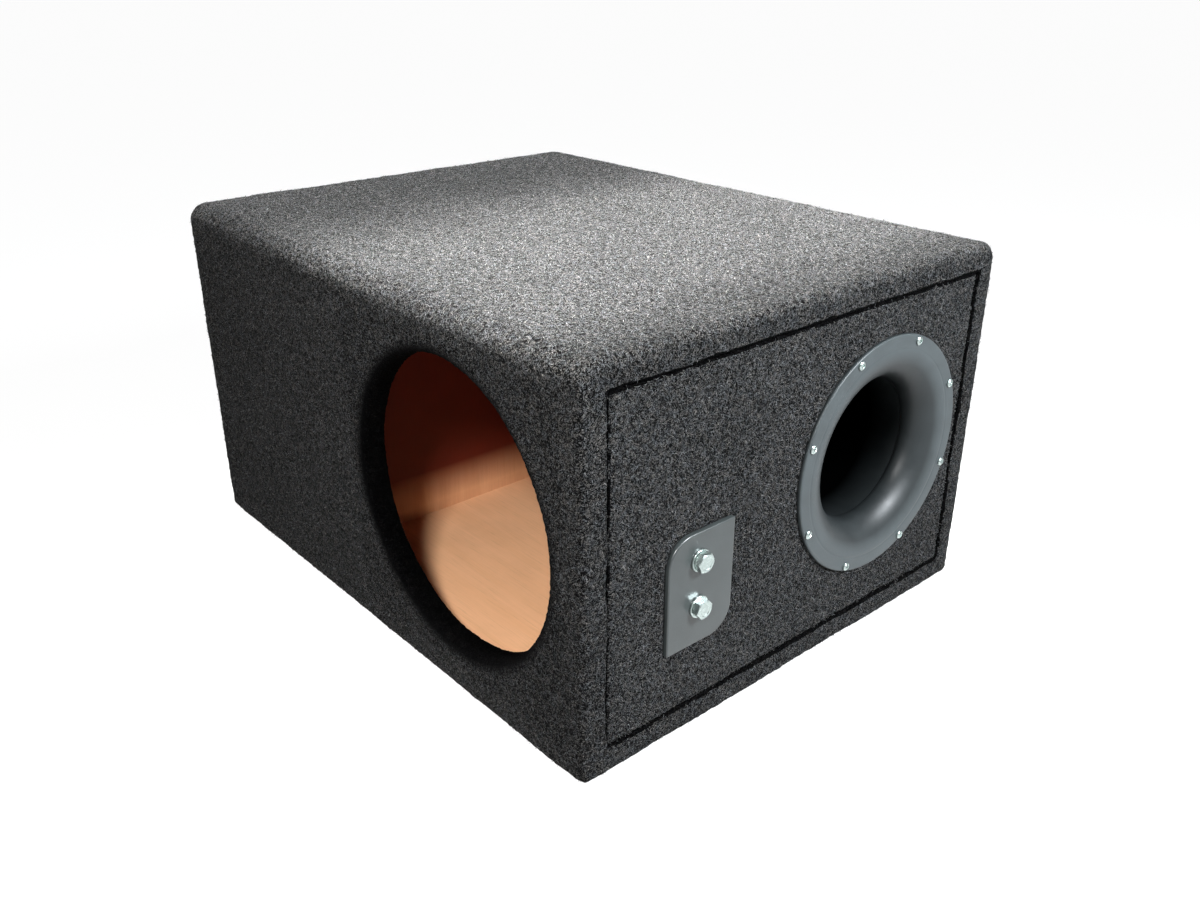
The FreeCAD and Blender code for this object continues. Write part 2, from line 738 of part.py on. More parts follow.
lining_slab = block("lining_slab", both(END), ("-{depth} / 2", "-%s + {lining_depth}" % WOOD_SIDE),
                    ("0", "{height}"))
lining = common("lining", driver_hole, lining_slab)
lined_hole = hole_tool("lined_hole", "{driver_cut} - {carpet}", "-{depth} / 2", "{carpet_lip}")
wrap_carpet = cut("wrap_carpet", fuse("wrap_blank", [sides, tucks, lining]), lined_hole)


def end_carpet_blank(name, face, back, board_in):
    """A carpet over an end board, turned back round the board's edges."""
    cover = block(name + "_cover", tuple(sorted((face, back), key=number)),
                  both(TUCKED[0]), (TUCKED[1], TUCKED[2]))
    board_limits = tuple(sorted(board_in, key=number))
    board = block(name + "_board", board_limits, both(CAP_SIDE), (CAP_LOW, CAP_HIGH))
    return cut(name + "_folded", cover, board)


plain_end_folded = end_carpet_blank(
    "plain_end", "-" + END_FACE, "-" + TUCK_BOTTOM, ("-" + CAP_OUT, "-" + CAP_IN)
)
plain_end_carpet = cut("plain_end_carpet", plain_end_folded, screw_holes)
port_end_folded = end_carpet_blank("port_end", END_FACE, TUCK_BOTTOM, (CAP_OUT, CAP_IN))
port_end_windows = fuse("port_end_windows", [port_hole, port_screw_holes, screw_holes, plate_window])
port_end_carpet = cut("port_end_carpet", port_end_folded, port_end_windows)


# ---------------------------------------------------------------- check and export

subparts = list(shell.values())
subparts += [port_end_panel, plain_end_panel, divider_panel]
subparts += [wrap_carpet, bottom_carpet, port_end_carpet, plain_end_carpet]
subparts += [port_outer_bell, port_tube, port_inner_bell, port_screws]
subparts += [terminal_plate, terminal_tee_nuts] + clamp_parts + screws

doc.recompute()
for item in doc.Objects:
    if "Invalid" in item.State or "Error" in item.State:
        raise RuntimeError("%s did not compute: %s" % (item.Label, item.State))
for item in subparts:
    shape = item.Shape
    if shape.isNull() or not shape.isValid() or not shape.Solids:
        raise RuntimeError("%s has no valid solid" % item.Label)
    if min(solid.Volume for solid in shape.Solids) <= 0:
        raise RuntimeError("%s has a solid turned inside out" % item.Label)

os.makedirs("parts", exist_ok=True)
for item in subparts:
    item.Shape.exportStep("parts/%s.step" % item.Label)
    print("%-24s solids %2d  volume %10.1f mm3"
          % (item.Label, len(item.Shape.Solids), item.Shape.Volume))
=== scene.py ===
# Looks for a carpeted, ported subwoofer enclosure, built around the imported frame.
#
# Metres throughout.  -Y is the face with the driver cut-out and +X is the end with the
# port and the terminals.  Every carpet is a dense sheet over the boards with a fuzz of
# short fibres on it.  The bell, the plate, the bolts, the washers and the port's screws are
# turned or filled from their profiles, and the rest keeps its CAD shape under a material.
#
# Some shading is painted in with the materials: the boards' stain and dark woods, the
# port's plastic that fades to black, and the dark carpet in the seams and the cut-out.

import json
import math

import bpy
import numpy as np
from mathutils import Matrix, Vector
from mathutils.geometry import delaunay_2d_cdt


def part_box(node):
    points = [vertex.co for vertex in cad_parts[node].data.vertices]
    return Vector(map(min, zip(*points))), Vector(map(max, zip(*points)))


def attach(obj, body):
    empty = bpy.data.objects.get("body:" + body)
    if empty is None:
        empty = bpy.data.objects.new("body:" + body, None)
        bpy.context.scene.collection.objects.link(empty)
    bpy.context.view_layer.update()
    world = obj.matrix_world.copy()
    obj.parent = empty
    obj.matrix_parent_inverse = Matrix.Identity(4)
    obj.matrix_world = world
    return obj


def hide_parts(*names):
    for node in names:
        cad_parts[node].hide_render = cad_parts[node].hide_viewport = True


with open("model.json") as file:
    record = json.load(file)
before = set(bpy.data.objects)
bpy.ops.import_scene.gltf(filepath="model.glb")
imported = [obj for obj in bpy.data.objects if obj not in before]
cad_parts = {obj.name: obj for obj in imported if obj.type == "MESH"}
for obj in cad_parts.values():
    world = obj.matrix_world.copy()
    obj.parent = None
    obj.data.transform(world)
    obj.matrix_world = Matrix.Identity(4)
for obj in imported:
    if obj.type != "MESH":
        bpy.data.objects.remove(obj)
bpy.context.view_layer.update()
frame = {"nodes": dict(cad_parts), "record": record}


# ---------------------------------------------------------------- places from the frame

WRAP_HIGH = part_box("wrap_carpet")[1]
END_X = WRAP_HIGH.x
SIDE_Y = WRAP_HIGH.y
TOP_Z = WRAP_HIGH.z
CAP_LOW, CAP_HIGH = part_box("port_end_carpet")
CAP_X = CAP_HIGH.x
CAP_Y = CAP_HIGH.y
CAP_LOW_Z = CAP_LOW.z
CAP_TOP_Z = CAP_HIGH.z

ROUND_TOP = 0.019  # radius of the long edges at the top
ROUND_BASE = 0.008  # radius of the long edges at the base
ROUND_END = 0.0120  # how far the edges round the ends are rounded
END_CURVE = 2.9  # power of the superellipse that rounds them; 2 is a circle
ROLL = 0.0042  # radius with which a carpet rolls into a seam
TUCK_DROPS = (0.0125, 0.009, 0.006)  # depths of the tucked rows of a carpet in a seam
RIM_INSET = SIDE_Y - CAP_Y
CELL = 0.003  # size of the carpets' grid

cutout = next(m for m in frame["record"]["mounts"] if m["name"] == "driver_cutout")
HOLE_X, _, HOLE_Z = cutout["pos_m"]
HOLE_R = cutout["dims"]["r_mm"] / 1000

BELL_LOW, BELL_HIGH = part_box("port_outer_bell")
PORT_Y = (BELL_LOW.y + BELL_HIGH.y) / 2
PORT_Z = (BELL_LOW.z + BELL_HIGH.z) / 2
FLANGE_X = BELL_HIGH.x
FLANGE_R = (BELL_HIGH.y - BELL_LOW.y) / 2
PORT_WINDOW = 0.107  # radius of the hole in the carpet behind the flange

PLATE_LOW, PLATE_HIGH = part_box("terminal_plate")
PLATE_CORNER = 0.025  # radius of its two rounded corners


# ---------------------------------------------------------------- noise and mesh tools

def lattice(cells, seed):
    """A repeatable random number from -1 to 1 for each row of whole numbers."""
    mixed = np.full(len(cells), seed * 2654435761 % 4294967296, np.uint64)
    for column, prime in zip(cells.T, (73856093, 19349663, 83492791)):
        mixed ^= (column.astype(np.int64) & 0xFFFFFFFF).astype(np.uint64) * np.uint64(prime)
        mixed = (mixed ^ (mixed >> np.uint64(13))) * np.uint64(1274126177)
        mixed &= np.uint64(0xFFFFFFFF)
    return (mixed % np.uint64(65536)).astype(float) / 32767.5 - 1


def noise(points, size, seed):
    """Smooth noise from -1 to 1 with features about size across."""
    scaled = points / size
    whole = np.floor(scaled)
    part = scaled - whole
    part = part * part * (3 - 2 * part)
    total = np.zeros(len(points))
    for corner in np.ndindex(2, 2, 2):
        weight = np.prod(np.where(corner, part, 1 - part), axis=1)
        total += weight * lattice(whole + corner, seed)
    return total


def make_piece(name, points, faces, material, slot, body="enclosure"):
    """A mesh from points and faces, riding on a body."""
    mesh = bpy.data.meshes.new(name)
    points = np.asarray(points, float)
    sizes = np.array([len(face) for face in faces], np.int32)
    corners = np.concatenate([np.asarray(face) for face in faces]).astype(np.int32)
    mesh.vertices.add(len(points))
    mesh.vertices.foreach_set("co", points.astype(np.float32).ravel())
    mesh.loops.add(len(corners))
    mesh.loops.foreach_set("vertex_index", corners)
    mesh.polygons.add(len(sizes))
    mesh.polygons.foreach_set("loop_start", (np.cumsum(sizes) - sizes).astype(np.int32))
    mesh.polygons.foreach_set("use_smooth", np.ones(len(sizes), bool))
    mesh.update(calc_edges=True)
    mesh.validate()
    mesh.materials.append(material)
    item = bpy.data.objects.new(name, mesh)
    bpy.context.scene.collection.objects.link(item)
    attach(item, body)
    return item


def sharpen(item, degrees):
    """Shade smooth except where faces meet at more than an angle."""
    item.data.set_sharp_from_angle(angle=math.radians(degrees))


def grid_faces(rows, columns, wrap_rows=False, wrap_columns=False):
    """Quads of a grid numbered row by row."""
    row = np.arange(rows if wrap_rows else rows - 1)
    column = np.arange(columns if wrap_columns else columns - 1)
    a, b = np.meshgrid(row, column, indexing="ij")
    a, b = a.ravel(), b.ravel()
    after_a, after_b = (a + 1) % rows, (b + 1) % columns
    return np.stack([
        a * columns + b, after_a * columns + b,
        after_a * columns + after_b, a * columns + after_b,
    ], axis=1)


def point_normals(points, quads):
    """Unit normals at the points of a mesh of quads."""
    across = points[quads[:, 2]] - points[quads[:, 0]]
    along = points[quads[:, 3]] - points[quads[:, 1]]
    face = np.cross(across, along)
    total = np.zeros_like(points)
    for corner in range(4):
        np.add.at(total, quads[:, corner], face)
    return total / np.maximum(np.linalg.norm(total, axis=1), 1e-12)[:, None]


def keep_used(points, quads):
    """The points that the quads use, and the quads renumbered."""
    used = np.unique(quads)
    number = np.zeros(len(points), int)
    number[used] = np.arange(len(used))
    return points[used], number[quads]


def spaced(start, end, step=CELL):
    """Even stations from start to end, without the end."""
    count = max(1, round(abs(end - start) / step))
    return list(np.linspace(start, end, count + 1)[:-1])


def superellipse(angle, size):
    """How far along and across a rounded edge lies at an angle, from 0 to size."""
    along = size * math.sin(angle) ** (2 / END_CURVE)
    across = size - size * max(math.cos(angle), 0) ** (2 / END_CURVE)
    return along, across


# ---------------------------------------------------------------- material tools

def new_material(name):
    """A new material, its node tree, its Principled shader and the object coordinates."""
    material = bpy.data.materials.new(name)
    material.use_nodes = True
    tree = material.node_tree
    shader = tree.nodes["Principled BSDF"]
    place = tree.nodes.new("ShaderNodeTexCoord").outputs["Object"]
    return material, tree, shader, place


def add_node(tree, kind, inputs=(), **settings):
    """A node with its settings and inputs; an input is a value or another socket."""
    node = tree.nodes.new(kind)
    for key, value in settings.items():
        setattr(node, key, value)
    for key, value in dict(inputs).items():
        socket = node.inputs[key]
        if isinstance(value, bpy.types.NodeSocket):
            tree.links.new(value, socket)
        else:
            socket.default_value = value
    return node


def stretched(tree, place, scale):
    """The place with each axis scaled."""
    return add_node(tree, "ShaderNodeMapping", {"Vector": place, "Scale": scale}).outputs[0]


def noise_node(tree, vector, scale, detail=2.0, roughness=0.5, distortion=0.0):
    """A noise texture's factor."""
    node = add_node(tree, "ShaderNodeTexNoise", {
        "Vector": vector, "Scale": scale, "Detail": detail,
        "Roughness": roughness, "Distortion": distortion,
    })
    return node.outputs["Fac"]


def ramp(tree, factor, *stops):
    """A colour ramp; stops are (position, colour)."""
    node = add_node(tree, "ShaderNodeValToRGB", {"Fac": factor})
    elements = node.color_ramp.elements
    while len(elements) < len(stops):
        elements.new(0.5)
    for element, (position, colour) in zip(elements, stops):
        element.position = position
        element.color = (*colour, 1)
    return node.outputs["Color"]


def grey(value):
    """A colour with three equal channels."""
    return (value, value, value)


def mixed(tree, factor, first, second, kind="MIX"):
    """Two colours mixed."""
    node = add_node(tree, "ShaderNodeMix", data_type="RGBA", blend_type=kind)
    for index, value in ((0, factor), (6, first), (7, second)):
        if isinstance(value, bpy.types.NodeSocket):
            tree.links.new(value, node.inputs[index])
        else:
            node.inputs[index].default_value = value
    return node.outputs[2]


def bump(tree, shader, height, distance, strength=1.0, under=None):
    """Bump on the shader; under is the output of a coarser bump."""
    inputs = {"Height": height, "Distance": distance, "Strength": strength}
    if under is not None:
        inputs["Normal"] = under
    node = add_node(tree, "ShaderNodeBump", inputs)
    tree.links.new(node.outputs["Normal"], shader.inputs["Normal"])
    return node.outputs["Normal"]


# ---------------------------------------------------------------- materials

PAINTED_SHADE_LOW, PAINTED_SHADE_HIGH = 0.038, 0.078  # heights between which painted shade comes in on a board: it darkens above the strip that light reaches


def carpet_material(name, dark, light, cover=0.0, gloss=0.04, shade_ring=None):
    """Matted curly fibres over near-black gaps; cover shifts the share of fibres.

    The last argument, if given, is (x, z, inner, outer) for an axis along Y: within the outer radius
    painted shade darkens the pile, to all but black at the inner radius.
    """
    material, tree, shader, place = new_material(name)
    tufts = noise_node(tree, place, 470, 2.0, 0.5, 1.6)
    strands = noise_node(tree, place, 680, 2.0, 0.6, 3.0)
    tone = ramp(
        tree, tufts, (0.45 - cover, dark), (0.50 - cover, [x * 0.36 for x in light]),
        (0.57 - cover, light))
    strand_tone = ramp(tree, strands, (0.42, grey(0.05)), (0.50, grey(0.70)), (0.58, grey(2.9)))
    heather = ramp(
        tree, noise_node(tree, place, 210, 1.0),
        (0.35, (0.94, 0.99, 1.05)), (0.65, (1.05, 1.0, 0.95)))
    wear = ramp(tree, noise_node(tree, place, 9, 3.0, 0.6), (0.3, grey(0.90)), (0.7, grey(1.10)))
    colour = mixed(tree, 1.0, tone, strand_tone, "MULTIPLY")
    colour = mixed(tree, 1.0, colour, heather, "MULTIPLY")
    colour = mixed(tree, 1.0, colour, wear, "MULTIPLY")
    # painted shade: the pile darkens to near-black towards the given axis
    if shade_ring:
        flat = stretched(tree, place, (1.0, 0.0, 1.0))
        shade_ring_x, shade_ring_z, inner, outer = shade_ring
        away = add_node(
            tree, "ShaderNodeVectorMath", {0: flat, 1: (shade_ring_x, 0.0, shade_ring_z)},
            operation="DISTANCE")
        share = add_node(tree, "ShaderNodeMapRange", {
            "Value": away.outputs["Value"], "From Min": inner, "From Max": outer})
        colour = mixed(tree, share.outputs[0], (0.0006, 0.0006, 0.0007, 1), colour)
    tree.links.new(colour, shader.inputs["Base Color"])
    shader.inputs["Roughness"].default_value = 0.95
    shader.inputs["Specular IOR Level"].default_value = gloss
    shader.inputs["Sheen Weight"].default_value = gloss / 10
    shader.inputs["Sheen Roughness"].default_value = 0.4
    coarse = bump(tree, shader, tufts, 0.0042, 1.0)
    bump(tree, shader, strands, 0.0008, 0.7, coarse)
    return material


def wood_material(name, pale, deep, along, painted_shade_colour=None):
    """Bare plywood: fine fibres along one axis, slow bands and small pores.

    The last argument, if given, is a dark colour of painted shade that takes over between two heights
    above the floor.
    """
    material, tree, shader, place = new_material(name)
    slow = [60.0, 60.0, 60.0]
    slow["xyz".index(along)] = 4.0
    fine = [900.0, 900.0, 900.0]
    fine["xyz".index(along)] = 28.0
    bands = noise_node(tree, stretched(tree, place, slow), 1.0, 4.0, 0.6, 0.8)
    fibres = noise_node(tree, stretched(tree, place, fine), 1.0, 3.0, 0.65, 0.3)
    tone = ramp(tree, bands, (0.28, deep), (0.55, pale), (0.8, [x * 1.05 for x in pale]))
    # painted shade: above the given heights the board turns to the dark colour, standing for shadow
    if painted_shade_colour:
        height = add_node(tree, "ShaderNodeSeparateXYZ", {"Vector": place}).outputs["Z"]
        rise = add_node(tree, "ShaderNodeMapRange", {
            "Value": height, "From Min": PAINTED_SHADE_LOW, "From Max": PAINTED_SHADE_HIGH})
        tone = mixed(tree, rise.outputs[0], tone, (*painted_shade_colour, 1))
    shade = ramp(tree, fibres, (0.28, grey(0.86)), (0.42, grey(0.98)), (0.7, grey(1.03)))
    spots = ramp(tree, noise_node(tree, place, 14, 3.0, 0.6), (0.3, grey(0.92)), (0.6, grey(1.0)))
    colour = mixed(tree, 1.0, tone, shade, "MULTIPLY")
    colour = mixed(tree, 1.0, colour, spots, "MULTIPLY")
    tree.links.new(colour, shader.inputs["Base Color"])
    shader.inputs["Roughness"].default_value = 0.62
    shader.inputs["Specular IOR Level"].default_value = 0.3
    bump(tree, shader, fibres, 0.0003, 0.5)
    return material


def plastic_material(name, colour, rough_low, rough_high, grain, gloss=0.5, painted_shade_mouth=None):
    """Moulded plastic with a fine grain and faint scuffs.

    The last argument, if given, is (face, depth) along X: colour and gloss fade to black from the
    face inwards, as painted shade in the port's depth.
    """
    material, tree, shader, place = new_material(name)
    scuffs = noise_node(tree, place, 38, 4.0, 0.65, 0.6)
    tone = ramp(
        tree, scuffs, (0.3, [x * 0.86 for x in colour]), (0.7, [x * 1.16 for x in colour]))
    shader.inputs["Specular IOR Level"].default_value = gloss
    if painted_shade_mouth:
        along = add_node(tree, "ShaderNodeSeparateXYZ", {"Vector": place}).outputs["X"]
        inwards = add_node(tree, "ShaderNodeMapRange", {
            "Value": along, "From Min": painted_shade_mouth[0], "From Max": painted_shade_mouth[0] - painted_shade_mouth[1]}).outputs[0]
        # painted shade: colour and specular level fall towards black with depth
        dark = ramp(
            tree, inwards, (0.0, grey(1.0)), (0.05, grey(0.42)), (0.42, grey(0.24)),
            (1.0, grey(0.005)))
        tone = mixed(tree, 1.0, tone, dark, "MULTIPLY")
        gloss_in_painted_shade = ramp(tree, inwards, (0.0, grey(gloss)), (0.5, grey(gloss * 0.8)), (1.0, grey(0.01)))
        tree.links.new(gloss_in_painted_shade, shader.inputs["Specular IOR Level"])
    tree.links.new(tone, shader.inputs["Base Color"])
    rough = ramp(tree, scuffs, (0.25, grey(rough_low)), (0.75, grey(rough_high)))
    tree.links.new(rough, shader.inputs["Roughness"])
    bump(tree, shader, noise_node(tree, place, grain, 2.0, 0.5), 0.00012, 0.35)
    return material


def metal_material(name, colour, rough_low, rough_high):
    """Zinc plating: bright, a little cloudy, with fine tool marks."""
    material, tree, shader, place = new_material(name)
    clouds = noise_node(tree, place, 260, 3.0, 0.6, 0.4)
    tone = ramp(tree, clouds, (0.3, [x * 0.82 for x in colour]), (0.65, colour))
    tree.links.new(tone, shader.inputs["Base Color"])
    rough = ramp(tree, clouds, (0.3, grey(rough_high)), (0.7, grey(rough_low)))
    tree.links.new(rough, shader.inputs["Roughness"])
    shader.inputs["Metallic"].default_value = 1.0
    bump(tree, shader, noise_node(tree, place, 1400, 2.0), 0.00005, 0.4)
    return material


PILE_DARK, PILE_LIGHT = (0.0007, 0.0007, 0.0008), (0.0385, 0.0384, 0.0380)
CARPET = carpet_material("charcoal_carpet", PILE_DARK, PILE_LIGHT)
# painted shade: an all but black carpet on the faces in the seams and in the cut-out's lining
PAINTED_SHADE_CARPET = carpet_material(
    "pressed_carpet", (0.0004, 0.0004, 0.0005), (0.0030, 0.0030, 0.0030), gloss=0.01)
# the lip of the cut-out, darkened towards the hole by painted shade
LIP_CARPET = carpet_material(
    "lip_carpet", PILE_DARK, PILE_LIGHT, gloss=0.02,
    shade_ring=(HOLE_X, HOLE_Z, HOLE_R + 0.004, HOLE_R + 0.0145))
FIBRE = carpet_material("carpet_fibre", (0.012, 0.012, 0.012), (0.085, 0.085, 0.084), 0.1)
FLOOR_WOOD = wood_material("board_grain_x", (0.79, 0.435, 0.235), (0.76, 0.41, 0.215), "x")
# the upright boards get painted shade: dark red-brown above a height, for the shadow inside the box
UPRIGHT_WOOD = wood_material(
    "board_grain_z", (0.72, 0.38, 0.20), (0.66, 0.33, 0.165), "z", (0.13, 0.014, 0.005))
# painted shade: a darker copy of the board wood for the top, back and baffle, standing for the shade
# inside the box
PAINTED_SHADE_WOOD = wood_material("dark_board", (0.20, 0.050, 0.020), (0.16, 0.038, 0.014), "x")
# painted shade: the port's plastic darkens from the flange's face and is all but black 65 mm in
PORT_PLASTIC = plastic_material(
    "port_black", (0.0285, 0.0345, 0.0362), 0.38, 0.48, 2600, 0.25, painted_shade_mouth=(FLANGE_X, 0.065))
PLATE_PLASTIC = plastic_material("plate_grey", (0.0220, 0.0260, 0.0260), 0.27, 0.34, 2200)
ZINC = metal_material("bright_zinc", (0.46, 0.53, 0.51), 0.20, 0.38)
YELLOW_ZINC = metal_material("yellow_zinc", (0.70, 0.56, 0.30), 0.25, 0.42)


# ---------------------------------------------------------------- carpet over the box

def section(inset, stations):
    """Y and Z of the stations round the box's section, moved in by inset."""
    half = SIDE_Y - inset
    low, high = inset, TOP_Z - inset
    top = max(ROUND_TOP - inset, 0.003)
    base = max(ROUND_BASE - inset, 0.003)
    corners = {
        "base_front": (-half + base, low + base, base, 270, 180),
        "top_front": (-half + top, high - top, top, 180, 90),
        "top_back": (half - top, high - top, top, 90, 0),
        "base_back": (half - base, low + base, base, 0, -90),
    }
    runs = {
        "front": ((-half, low + base), (-half, high - top)),
        "top": ((-half + top, high), (half - top, high)),
        "back": ((half, high - top), (half, low + base)),
        "base": ((half - base, low), (-half + base, low)),
    }
    places = []
    for part, share in stations:
        if part in corners:
            y, z, radius, start, end = corners[part]
            angle = math.radians(start + (end - start) * share)
            places.append((y + radius * math.cos(angle), z + radius * math.sin(angle)))
        else:
            start, end = runs[part]
            places.append(tuple(a + (b - a) * share for a, b in zip(start, end)))
    return places


def shares(part, count):
    """Even stations along one part of the section."""
    return [(part, k / count) for k in range(count)]


def seam_half(points):
    """Half the width of the band of painted shade along a seam, widest along the top."""
    top = points[:, 2] > TOP_Z - RIM_INSET - 0.003
    return np.where(top, 0.0026, 0.0015) + 0.0007 * noise(points, 0.011, 8)


PATCH = 51 * CELL  # half the square of the grid that the cut-out replaces
front_low = ROUND_BASE
front_high = TOP_Z - ROUND_TOP
front_z = (
    spaced(front_low, HOLE_Z - PATCH) + spaced(HOLE_Z - PATCH, HOLE_Z + PATCH)
    + spaced(HOLE_Z + PATCH, front_high)
)
stations = (
    shares("base_front", 5)
    + [("front", (z - front_low) / (front_high - front_low)) for z in front_z]
    + shares("top_front", 10) + shares("top", 154) + shares("top_back", 10)
    + shares("back", 96) + shares("base_back", 5) + shares("base", 120)
)

# rows of the grid as (x, inset), from the tuck in the seam out over the rounded end
end_rows = [(END_X - drop, RIM_INSET) for drop in TUCK_DROPS]
for angle in np.radians(np.linspace(0, 90, 7)):
    end_rows.append((
        END_X - ROLL + ROLL * math.sin(angle), RIM_INSET - ROLL + ROLL * math.cos(angle)))
for inset in np.linspace(RIM_INSET - ROLL, ROUND_END, 5)[1:-1]:
    end_rows.append((END_X, inset))
for angle in np.radians(np.linspace(90, 0, 8)):
    along, across = superellipse(angle, ROUND_END)
    end_rows.append((END_X - ROUND_END + along, across))
straight_x = (
    spaced(END_X - ROUND_END, HOLE_X + PATCH) + spaced(HOLE_X + PATCH, HOLE_X - PATCH)
    + spaced(HOLE_X - PATCH, -(END_X - ROUND_END))
)
rows = end_rows + [(x, 0.0) for x in straight_x[1:]] + [(-x, inset) for x, inset in end_rows[::-1]]

wrap_points = []
for x, inset in rows:
    wrap_points += [(x, y, z) for y, z in section(inset, stations)]
wrap_points = np.array(wrap_points)
wrap_quads = grid_faces(len(rows), len(stations), wrap_columns=True)
centres = wrap_points[wrap_quads].mean(axis=1)
SAME_PLACE = 1e-6
over_hole = (
    (centres[:, 1] < -SIDE_Y + SAME_PLACE)
    & (np.abs(centres[:, 0] - HOLE_X) < PATCH) & (np.abs(centres[:, 2] - HOLE_Z) < PATCH)
)
wrap_quads = wrap_quads[~over_hole]
facing = point_normals(wrap_points, wrap_quads) * (wrap_points - Vector((0, 0, TOP_Z / 2)))
if facing.sum() < 0:
    wrap_quads = wrap_quads[:, ::-1]
row_inset = np.array([inset for _, inset in rows])[wrap_quads.min(axis=1) // len(stations)]
# faces in the seam band get the carpet of painted shade
wrap_seam_shade = row_inset > RIM_INSET - seam_half(wrap_points[wrap_quads].mean(axis=1))

# the ring of grid points round the cut-out, in order of angle
on_front = np.abs(wrap_points[:, 1] + SIDE_Y) < SAME_PLACE
reach = np.maximum(np.abs(wrap_points[:, 0] - HOLE_X), np.abs(wrap_points[:, 2] - HOLE_Z))
ring = np.nonzero(on_front & (np.abs(reach - PATCH) < SAME_PLACE))[0]
ring_angle = np.arctan2(wrap_points[ring, 2] - HOLE_Z, wrap_points[ring, 0] - HOLE_X)
order = np.argsort(ring_angle)
ring, ring_angle = ring[order], ring_angle[order]

LIP = 0.0120  # how far the carpet is rounded into the cut-out
LINING = 0.0232  # depth of the carpet that lines the cut-out
LIP_EDGE = HOLE_R + LIP + 0.0016
lip_profile = [(LIP_EDGE, 0.0), (LIP_EDGE - 0.0008, 0.0)]
for angle in np.radians(np.linspace(0, 90, 7)):
    along, across = superellipse(angle, LIP)
    lip_profile.append((HOLE_R + LIP - along, across))
lip_profile += [(HOLE_R, depth) for depth in np.arange(0.0150, LINING, 0.003)]
lip_profile += [(HOLE_R + 0.0006, LINING + 0.0007), (HOLE_R + 0.0029, LINING + 0.0008)]


def hole_circle(radius, depth):
    """Points at the ring's angles on a circle round the cut-out, some depth behind the front."""
    return np.stack([
        HOLE_X + radius * np.cos(ring_angle), np.full(len(ring), -SIDE_Y + depth),
        HOLE_Z + radius * np.sin(ring_angle)], axis=1)


# loops from the square ring over two blended ones to the rounded lip and the lining
flat_ring, edge_circle = wrap_points[ring], hole_circle(LIP_EDGE, 0.0)
new_loops = [flat_ring * (1 - share) + edge_circle * share for share in (0.34, 0.67)]
new_loops += [hole_circle(radius, depth) for radius, depth in lip_profile]
loops = [ring]
for loop_points in new_loops:
    loops.append(len(wrap_points) + np.arange(len(ring)))
    wrap_points = np.concatenate([wrap_points, loop_points])
for outer, inner in zip(loops, loops[1:]):
    wrap_quads = np.concatenate([wrap_quads, np.stack([
        outer, np.roll(outer, -1), np.roll(inner, -1), inner], axis=1)])

# material of each face: 0 for the pile, 1 for painted shade where it is tucked or lines the hole, 2
# on the lip
LIP_ROWS = 8
lip_row = np.arange(len(wrap_quads) - len(wrap_seam_shade)) // len(ring)
pile_or_painted_shade = np.concatenate([wrap_seam_shade * 1, np.where(lip_row >= LIP_ROWS, 1, 2)])


def seam_wander(points):
    """How far the seams round the ends wander from straight, kept clear of the boards."""
    wander = 0.0012 * noise(points, 0.026, 5) + 0.0006 * noise(points, 0.009, 6)
    return np.maximum(wander, -0.0008)


def soften(points, normals, seed):
    """The slow waves and the tufted roughness of laid carpet."""
    waves = 0.0005 * noise(points, 0.055, seed) + 0.0003 * noise(points, 0.016, seed + 1)
    jitter = np.random.default_rng(seed).uniform(-1, 1, len(points)) * 0.00038
    return points + normals * (waves + jitter)[:, None]


normals = point_normals(wrap_points, wrap_quads)
shift = seam_wander(wrap_points)
wrap_points = soften(wrap_points, normals, 11)
at_end = np.abs(wrap_points[:, 0]) > END_X - TUCK_DROPS[0] - 0.0015
depth_in = np.minimum.reduce([
    SIDE_Y - np.abs(wrap_points[:, 1]), wrap_points[:, 2], TOP_Z - wrap_points[:, 2]])
pull = np.where(at_end, np.clip((depth_in - 0.013) / 0.006, 0, 1), 0) * shift
towards = np.stack([
    np.zeros(len(pull)),
    np.where(SIDE_Y - np.abs(wrap_points[:, 1]) < depth_in + 1e-4, -np.sign(wrap_points[:, 1]), 0),
    np.where(wrap_points[:, 2] < depth_in + 1e-4, 1.0,
             np.where(TOP_Z - wrap_points[:, 2] < depth_in + 1e-4, -1.0, 0.0))], axis=1)
wrap_points = wrap_points + towards * pull[:, None]

# the faces on the ground are the bottom carpet, and the rest is the wrap
low_face = wrap_points[wrap_quads][:, :, 2].mean(axis=1) < 0.0027
wrap_mesh = keep_used(wrap_points, wrap_quads[~low_face])
base_mesh = keep_used(wrap_points, wrap_quads[low_face])
base_mesh[0][:, 2] = np.maximum(base_mesh[0][:, 2], 0.0)
wrap_mesh[0][:, 2] = np.maximum(wrap_mesh[0][:, 2], 0.0004)

wrap = make_piece("wrap_carpet_sheet", *wrap_mesh, CARPET, "carpet")
wrap.data.materials.append(PAINTED_SHADE_CARPET)
wrap.data.materials.append(LIP_CARPET)
wrap.data.polygons.foreach_set("material_index", pile_or_painted_shade[~low_face].astype(np.int32))
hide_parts("wrap_carpet")
base = make_piece("bottom_carpet_sheet", *base_mesh, CARPET, "carpet")
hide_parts("bottom_carpet")


# ---------------------------------------------------------------- carpets of the end boards

def edge_stations(low, high):
    """Stations across an end carpet as (place, drop); the edges roll into the seam."""
    roll = [
        (ROLL * math.sin(a), ROLL - ROLL * math.cos(a)) for a in np.radians(np.linspace(0, 90, 5))
    ]
    rising = [(low, drop) for drop in TUCK_DROPS]
    rising += [(low + ROLL - out, drop) for out, drop in roll[::-1]]
    falling = [(high + low - place, drop) for place, drop in rising[::-1]]
    middle = [(place, 0.0) for place in spaced(low + ROLL, high - ROLL)[1:]]
    return rising + middle + falling


